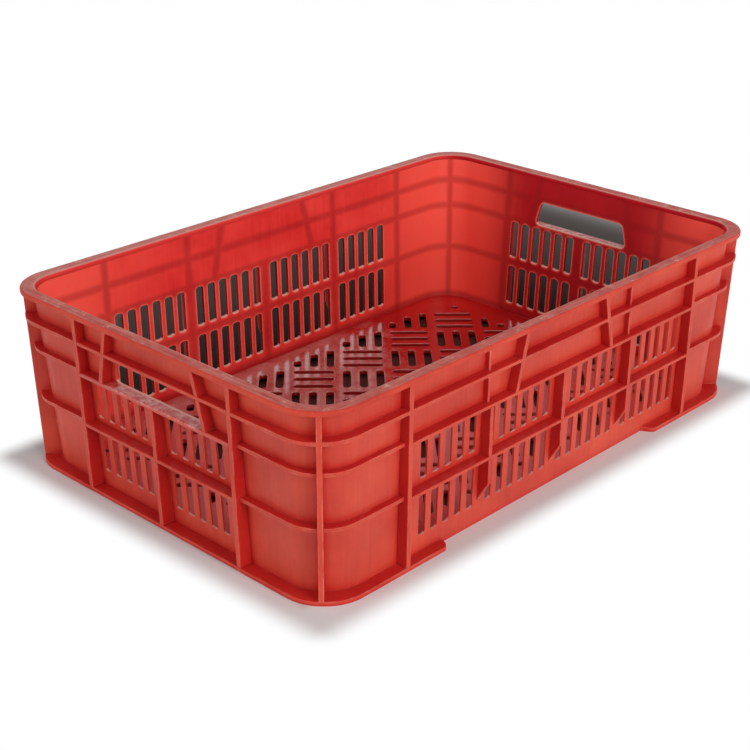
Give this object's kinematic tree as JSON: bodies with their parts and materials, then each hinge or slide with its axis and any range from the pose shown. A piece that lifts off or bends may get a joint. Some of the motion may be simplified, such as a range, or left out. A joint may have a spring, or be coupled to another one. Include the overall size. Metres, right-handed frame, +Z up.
{
  "type": "industrial basket",
  "caption": "Low rectangular harvest crate moulded in one piece of red plastic, with slotted ribbed walls, a flat rim, rounded corners, hand holes in the ends and a basket-weave slotted floor.",
  "frame": {"origin": "centre of the underside, on the plane that the crate stands on", "axes": "+X along the crate's length, +Y along its width towards the rear wall, +Z up out of the open top"},
  "size_m": [0.6, 0.4, 0.172],
  "materials": {
    "red_plastic": "moulded, worn pale on the rim and floor"
  },
  "bodies": {
    "root": {"base_flange_left": "red_plastic", "base_flange_right": "red_plastic", "corner_cage_front_left": "red_plastic", "corner_cage_front_right": "red_plastic", "corner_cage_rear_left": "red_plastic", "corner_cage_rear_right": "red_plastic", "corner_foot_front_left": "red_plastic", "corner_foot_front_right": "red_plastic", "corner_foot_rear_left": "red_plastic", "corner_foot_rear_right": "red_plastic", "corner_wall_front_left": "red_plastic", "corner_wall_front_right": "red_plastic", "corner_wall_rear_left": "red_plastic", "corner_wall_rear_right": "red_plastic", "floor_panel": "red_plastic", "front_wall": "red_plastic", "handle_ribs_left": "red_plastic", "handle_ribs_right": "red_plastic", "label_ribs_front": "red_plastic", "label_ribs_rear": "red_plastic", "left_end_wall": "red_plastic", "lower_band_front": "red_plastic", "lower_band_left": "red_plastic", "lower_band_rear": "red_plastic", "lower_band_right": "red_plastic", "middle_band_front": "red_plastic", "middle_band_left": "red_plastic", "middle_band_rear": "red_plastic", "middle_band_right": "red_plastic", "panel_rib_front_left": "red_plastic", "panel_rib_front_middle": "red_plastic", "panel_rib_front_right": "red_plastic", "panel_rib_left": "red_plastic", "panel_rib_rear_left": "red_plastic", "panel_rib_rear_middle": "red_plastic", "panel_rib_rear_right": "red_plastic", "panel_rib_right": "red_plastic", "rear_wall": "red_plastic", "right_end_wall": "red_plastic", "rim_corner_front_left": "red_plastic", "rim_corner_front_right": "red_plastic", "rim_corner_rear_left": "red_plastic", "rim_corner_rear_right": "red_plastic", "rim_front": "red_plastic", "rim_left": "red_plastic", "rim_rear": "red_plastic", "rim_right": "red_plastic", "side_rib_front_left": "red_plastic", "side_rib_front_right": "red_plastic", "side_rib_left_front": "red_plastic", "side_rib_left_rear": "red_plastic", "side_rib_rear_left": "red_plastic", "side_rib_rear_right": "red_plastic", "side_rib_right_front": "red_plastic", "side_rib_right_rear": "red_plastic", "upper_band_front": "red_plastic", "upper_band_left": "red_plastic", "upper_band_rear": "red_plastic", "upper_band_right": "red_plastic"}
  },
  "joints": []
}
